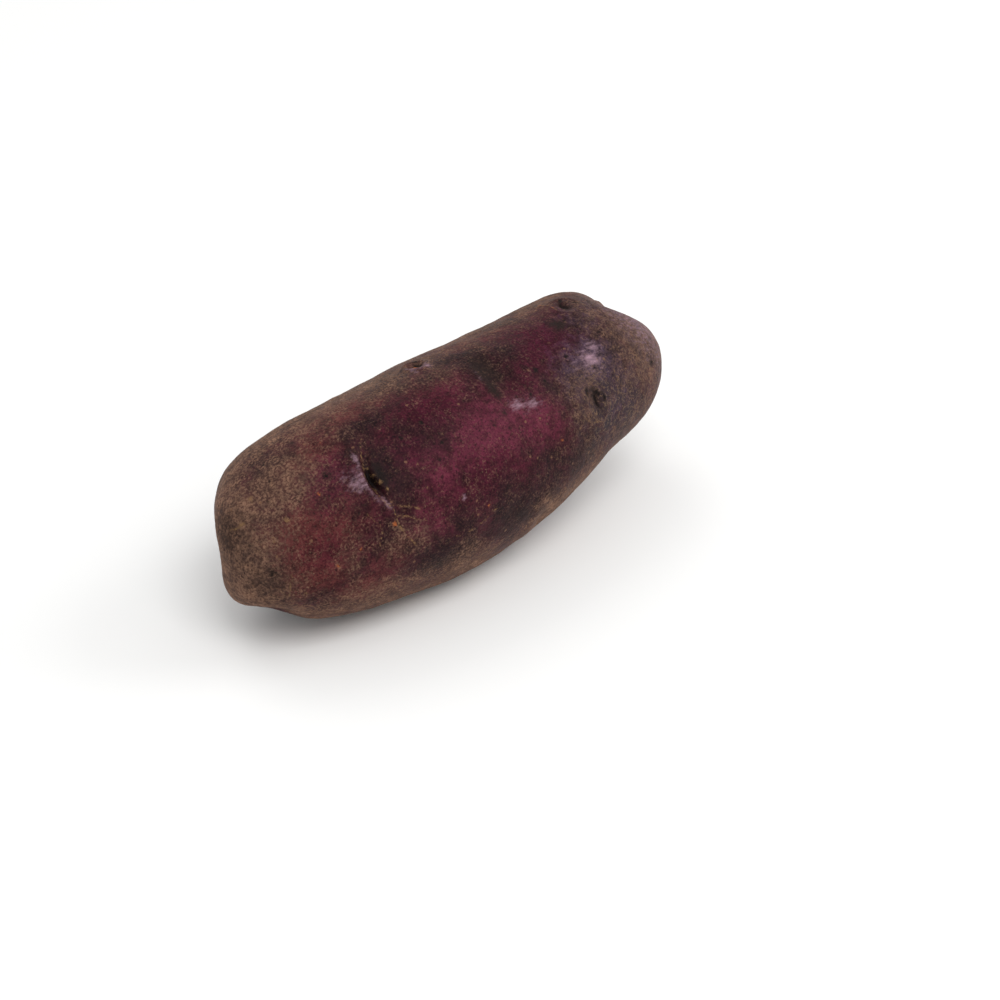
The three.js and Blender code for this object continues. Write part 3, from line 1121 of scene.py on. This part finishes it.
@dataclass
class Potato:
    """The tuber's fine surface, over a grid of rows from tip to tip and columns round it."""

    body: TuberBody = TuberBody()
    finish: PurpleSkin = PurpleSkin()
    rows: int = 298
    columns: int = 324
    belly_sink: float = 1.0
    belly_rounding: float = 0.7
    swell: float = 0.42
    ripple: float = 0.15
    pore_count: int = 240
    pore_reach: tuple[float, float] = (0.22, 0.42)
    pore_strength: float = 0.62
    dark_pore_strength: float = 0.92
    thinnest_line: float = 0.24
    thinnest_fold: float = 0.3
    fleck_height: float = 0.10
    pore_depth: float = 0.10

    def build(self) -> bpy.types.Object:
        """Makes the mesh with its marks, and dresses it in its skin.

        Returns:
            The potato, in metres in the row frame.
        """
        rng = np.random.default_rng(SEED)
        noise = LatticeNoise(rng)
        polar, turn = self.grid()
        plain = self.body.point(polar, turn)
        outward = self.body.directions(polar, turn)[2]
        stray = 0.5 * np.stack([noise.layers(plain + shift, 2.6, 2) for shift in (3, 17, 31)], -1)
        creases = {crease: self.crease_distance(crease, plain + stray) for crease in CREASES}
        marks = self.marks(polar, turn, plain, noise, rng, creases)
        relief = self.relief(plain, marks, noise, creases)
        places = self.laid(plain + outward * relief[:, None])
        potato = self.mesh(places)
        self.write_marks(potato.data, marks)
        potato.data.materials.append(self.finish.material())
        return potato

    def grid(self) -> tuple[np.ndarray, np.ndarray]:
        """The polar and turn angles of every vertex: the stem tip, the rows, then the bud tip.

        The rows are evenly spaced by the body's length over the skin, and each row has the same
        turns, so the grid's cells are nearly square round the middle.

        Returns:
            Polar angles and turn angles, in degrees, one for each vertex.
        """
        front_turn = 49.0
        fine = np.linspace(0.0, 180.0, 4001)
        line = self.body.point(fine, np.full_like(fine, front_turn))
        steps = np.linalg.norm(np.diff(line, axis=0), axis=-1)
        run = np.concatenate([[0.0], np.cumsum(steps)])
        wanted = np.linspace(0.0, run[-1], self.rows + 2)[1:-1]
        row_polar = np.interp(wanted, run, fine)
        column_turn = np.linspace(-180.0, 180.0, self.columns, endpoint=False)
        polar = np.concatenate([[0.0], np.repeat(row_polar, self.columns), [180.0]])
        turn = np.concatenate([[0.0], np.tile(column_turn, self.rows), [0.0]])
        return polar, turn

    def marks(self, polar: np.ndarray, turn: np.ndarray, plain: np.ndarray, noise: LatticeNoise,
              rng: np.random.Generator, creases: dict[Crease, np.ndarray]) -> dict[Tone, np.ndarray]:
        """The strength of every tone at every vertex.

        Args:
            polar: Polar angles in degrees.
            turn: Turn angles in degrees.
            plain: Points of the plain body, in millimetres.
            noise: The relief that makes the film patchy.
            rng: The source of the pores' places.
            creases: The distance of every vertex to each crease, in millimetres.

        Returns:
            One array for each tone.
        """
        marks = {tone: np.zeros(len(plain)) for tone in Tone}
        maker = Marks(self.body, noise)
        marks[Tone.FILM_AND_RIM_SHEEN] = maker.film(polar, turn, plain)
        for patch in PATCHES:
            strength = maker.patch(patch, plain)
            if patch.strength < 0:
                marks[patch.tone] *= 1 + strength
            else:
                marks[patch.tone] = np.maximum(marks[patch.tone], strength)
        for eye in EYES:
            for tone, strength in maker.eye(eye, plain).items():
                marks[tone] = np.maximum(marks[tone], strength)
        for crease, distance in creases.items():
            line = fade(distance, max(crease.thickness, self.thinnest_line))
            marks[Tone.LINE] = np.maximum(marks[Tone.LINE], line)
        for pore_polar, pore_turn, reach in DARK_PORES:
            centre = self.body.point(np.array(pore_polar), np.array(float(pore_turn)))
            spot = self.dark_pore_strength * fade(gap_between(plain, centre), reach)
            marks[Tone.PORE_AND_SLIT_SHADE] = np.maximum(marks[Tone.PORE_AND_SLIT_SHADE], spot)
        chosen = rng.choice(len(plain), self.pore_count, replace=False)
        for index, reach in zip(chosen, rng.uniform(*self.pore_reach, self.pore_count)):
            spot = self.pore_strength * fade(gap_between(plain, plain[index]), reach)
            marks[Tone.PORE_AND_SLIT_SHADE] = np.maximum(marks[Tone.PORE_AND_SLIT_SHADE], spot)
        return marks

    def crease_distance(self, crease: Crease, points: np.ndarray) -> np.ndarray:
        """The distance from each point to a crease.

        The crease's places are joined by straight stretches of sixteen steps each, whose corners
        are then rounded by the mean of nine steps. Points well away from it are left far.

        Args:
            crease: The crease.
            points: Points of the plain body, in millimetres.

        Returns:
            Distances in millimetres.
        """
        steps, rounded, margin = 16, 9, 3.0
        places = np.array(crease.places, float)
        knots = np.arange(len(places))
        wanted = np.linspace(0, len(places) - 1, steps * (len(places) - 1) + 1)
        polar = np.interp(wanted, knots, places[:, 0])
        turn = np.interp(wanted, knots, places[:, 1])
        kernel = np.ones(rounded) / rounded
        inner = slice(rounded // 2, -(rounded // 2))
        polar[inner] = np.convolve(polar, kernel, "valid")
        turn[inner] = np.convolve(turn, kernel, "valid")
        line = self.body.point(polar, turn)
        distance = np.full(len(points), FAR)
        middle = (line.min(0) + line.max(0)) / 2
        half_size = np.linalg.norm(line.max(0) - line.min(0)) / 2
        near = gap_between(points, middle) < half_size + margin
        close = points[near]
        nearest = np.full(len(close), FAR)
        for start, end in zip(line[:-1], line[1:]):
            side = end - start
            share = np.clip((close - start) @ side / (side @ side), 0.0, 1.0)
            nearest = np.minimum(nearest, gap_between(close, start + share[:, None] * side))
        distance[near] = nearest
        return distance

    def relief(self, plain: np.ndarray, marks: dict[Tone, np.ndarray], noise: LatticeNoise,
               creases: dict[Crease, np.ndarray]) -> np.ndarray:
        """How far the skin stands off the plain body: lumps, eyes, creases, swell and ripple.

        Args:
            plain: Points of the plain body, in millimetres.
            marks: The strength of every tone.
            noise: Smooth random relief.
            creases: The distance of every vertex to each crease, in millimetres.

        Returns:
            Heights in millimetres.
        """
        height = self.swell * noise.layers(plain, 12.0, 2) + self.ripple * noise.layers(plain, 3.6, 3)
        for lump in LUMPS:
            centre = self.body.point(np.array(float(lump.polar)), np.array(float(lump.turn)))
            height += lump.height * fade(gap_between(plain, centre), lump.reach)
        shaper = EyeRelief()
        for eye in EYES:
            place = SkinPlace.on(self.body, eye.polar, eye.turn, eye.lean)
            height += shaper.height(eye, place, plain)
        for crease, distance in creases.items():
            height += crease.height * fade(distance, max(crease.thickness, self.thinnest_fold))
        height += self.fleck_height * marks[Tone.ORANGE] - self.pore_depth * marks[Tone.PORE_AND_SLIT_SHADE]
        return height

    def laid(self, points: np.ndarray) -> np.ndarray:
        """Lays the tuber on its belly inside the CAD tuber's box.

        What sinks below the surface is pressed flat, and the flat's edge is rounded: a height h
        becomes h squared over four roundings up to two roundings, and h less one rounding above.

        Args:
            points: Points in millimetres.

        Returns:
            Points in metres, standing where the CAD tuber stands.
        """
        height = points[:, 2] - points[:, 2].min() - self.belly_sink
        rounded = np.clip(height, 0.0, None) ** 2 / (4 * self.belly_rounding)
        points = points.copy()
        points[:, 2] = np.where(height < 2 * self.belly_rounding, rounded, height - self.belly_rounding)
        points *= MM
        low, high = (np.array(corner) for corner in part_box("potato"))
        own_middle = (points.min(0) + points.max(0)) / 2
        points[:, :2] += ((low + high) / 2 - own_middle)[:2]
        points[:, 2] += low[2]
        return points

    def mesh(self, places: np.ndarray) -> bpy.types.Object:
        """Joins the vertices: quads between rows, and a fan of triangles at each tip.

        Args:
            places: The vertices in metres, in the grid's order.

        Returns:
            The potato's object, shaded smooth, with its bake map.
        """
        column = np.arange(self.columns)
        following = (column + 1) % self.columns
        starts = 1 + np.arange(self.rows)[:, None] * self.columns
        near = starts[:-1]
        far = starts[1:]
        quads = np.stack([near + column, near + following, far + following, far + column], -1)
        last = 1 + self.rows * self.columns
        stem_fan = np.stack([np.zeros_like(column), 1 + following, 1 + column], -1)
        bud_row = 1 + (self.rows - 1) * self.columns
        bud_fan = np.stack([np.full_like(column, last), bud_row + column, bud_row + following], -1)
        mesh = bpy.data.meshes.new("purple_potato")
        faces = stem_fan.tolist() + quads.reshape(-1, 4).tolist() + bud_fan.tolist()
        mesh.from_pydata(places.tolist(), [], faces)
        mesh.polygons.foreach_set("use_smooth", np.ones(len(faces), bool))
        self.write_map(mesh)
        mesh.update()
        potato = bpy.data.objects.new("purple_potato", mesh)
        bpy.context.scene.collection.objects.link(potato)
        return potato

    def write_map(self, mesh: bpy.types.Mesh) -> None:
        """Gives the mesh its bake map: round the tuber by column, along it by row.

        Args:
            mesh: The potato's mesh.
        """
        edge = 0.002
        rows = (np.arange(self.rows) + 1) / (self.rows + 1)
        column = np.arange(self.columns)
        left, right = column / self.columns, (column + 1) / self.columns
        middle = (left + right) / 2
        stem = np.stack([middle, 0 * left, right, 0 * left + rows[0], left, 0 * left + rows[0]], -1)
        near = np.repeat(rows[:-1], self.columns)
        far = np.repeat(rows[1:], self.columns)
        start, end = np.tile(left, self.rows - 1), np.tile(right, self.rows - 1)
        quads = np.stack([start, near, end, near, end, far, start, far], -1)
        bud = np.stack([middle, 0 * left + 1, left, 0 * left + rows[-1], right, 0 * left + rows[-1]], -1)
        places = np.concatenate([stem.ravel(), quads.ravel(), bud.ravel()])
        layer = mesh.uv_layers.new(name="OFBake")
        layer.uv.foreach_set("vector", (edge + places * (1 - 2 * edge)).astype(np.float32))

    def write_marks(self, mesh: bpy.types.Mesh, marks: dict[Tone, np.ndarray]) -> None:
        """Stores each tone's strength on the mesh's vertices.

        Args:
            mesh: The potato's mesh.
            marks: The strength of every tone.
        """
        for tone, strength in marks.items():
            attribute = mesh.attributes.new(tone.value, "FLOAT", "POINT")
            attribute.data.foreach_set("value", strength.astype(np.float32))

    def place(self) -> bpy.types.Object:
        """Builds the potato and sets it in the CAD tuber's stead.

        Returns:
            The potato.
        """
        potato = self.build()
        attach(potato, "root")
        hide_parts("potato")
        return potato


# ---------------------------------------------------------------- the studio

@dataclass(frozen=True)
class Lamp:
    """A soft square lamp, placed round the potato by its azimuth, elevation and distance."""

    name: str
    azimuth: float
    elevation: float
    distance: float
    size: float
    power: float


@dataclass(frozen=True)
class Studio:
    """A pale floor, soft lamps and a camera at a table's viewing angle."""

    floor_size: float = 4.0
    floor_gap: float = 0.0001
    floor_roughness: float = 0.9
    lit_height: float = 0.02
    floor_tint: tuple[float, ...] = linear(249, 249, 248)
    sky: tuple[float, ...] = linear(255, 255, 255)
    sky_strength: float = 0.66
    azimuth: float = -41.0
    elevation: float = 33.0
    distance: float = 0.480
    lens: float = 85.0
    aim: tuple[float, float, float] = (4.4, -10.6, 12.4)
    lamps: tuple[Lamp, ...] = (
        Lamp("key lamp", -14, 58, 0.9, 0.50, 2.9),
        Lamp("side lamp", 64, 34, 1.0, 0.5, 2.5),
        Lamp("back lamp", 170, 50, 1.1, 0.6, 1.7),
    )

    def back(self, azimuth: float, elevation: float) -> Vector:
        """The direction from the potato towards something at that azimuth and elevation.

        Args:
            azimuth: Degrees round the potato, from its front.
            elevation: Degrees above the floor.

        Returns:
            A vector of length 1.
        """
        a, e = math.radians(azimuth), math.radians(elevation)
        return Vector((math.sin(a) * math.cos(e), -math.cos(a) * math.cos(e), math.sin(e)))

    def build(self) -> None:
        """Makes the floor, the sky, the lamps and the camera."""
        self.lay_floor()
        self.light()
        self.set_camera()
        bpy.context.scene.view_settings.view_transform = "Standard"

    def lay_floor(self) -> None:
        """A square floor just under the potato, which isn't part of it."""
        half = self.floor_size / 2
        corners = [(-half, -half, 0), (half, -half, 0), (half, half, 0), (-half, half, 0)]
        mesh = bpy.data.meshes.new("floor")
        mesh.from_pydata([(x, y, z - self.floor_gap) for x, y, z in corners], [], [(0, 1, 2, 3)])
        floor = bpy.data.objects.new("floor", mesh)
        bpy.context.scene.collection.objects.link(floor)
        material = bpy.data.materials.new("pale_floor")
        material.use_nodes = True
        shader = material.node_tree.nodes["Principled BSDF"]
        shader.inputs["Base Color"].default_value = self.floor_tint
        shader.inputs["Roughness"].default_value = self.floor_roughness
        mesh.materials.append(material)

    def light(self) -> None:
        """An even white sky and the lamps, each facing the potato."""
        world = bpy.data.worlds.new("studio")
        world.use_nodes = True
        background = world.node_tree.nodes["Background"]
        background.inputs["Color"].default_value = self.sky
        background.inputs["Strength"].default_value = self.sky_strength
        bpy.context.scene.world = world
        middle = Vector((0, 0, self.lit_height))
        for lamp in self.lamps:
            data = bpy.data.lights.new(lamp.name, "AREA")
            data.shape = "SQUARE"
            data.size = lamp.size
            data.energy = lamp.power
            light = bpy.data.objects.new(lamp.name, data)
            towards = self.back(lamp.azimuth, lamp.elevation)
            light.location = middle + towards * lamp.distance
            light.rotation_mode = "QUATERNION"
            light.rotation_quaternion = (-towards).to_track_quat("-Z", "Y")
            bpy.context.scene.collection.objects.link(light)

    def set_camera(self) -> None:
        """The camera, looking at a point beside the potato, so that the potato sits off centre."""
        data = bpy.data.cameras.new("camera")
        data.lens = self.lens
        camera = bpy.data.objects.new("camera", data)
        towards = self.back(self.azimuth, self.elevation)
        camera.location = Vector(self.aim) * MM + towards * self.distance
        camera.rotation_mode = "QUATERNION"
        camera.rotation_quaternion = (-towards).to_track_quat("-Z", "Y")
        bpy.context.scene.collection.objects.link(camera)
        bpy.context.scene.camera = camera


def main() -> None:
    """Builds the studio and the potato, and reports the piece."""
    logging.basicConfig(level=logging.INFO, format="%(name)s: %(message)s")
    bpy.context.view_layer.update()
    Studio().build()
    potato = Potato().place()
    log.info("%s: %d faces", potato.name, len(potato.data.polygons))


if __name__ == "__main__":
    main()
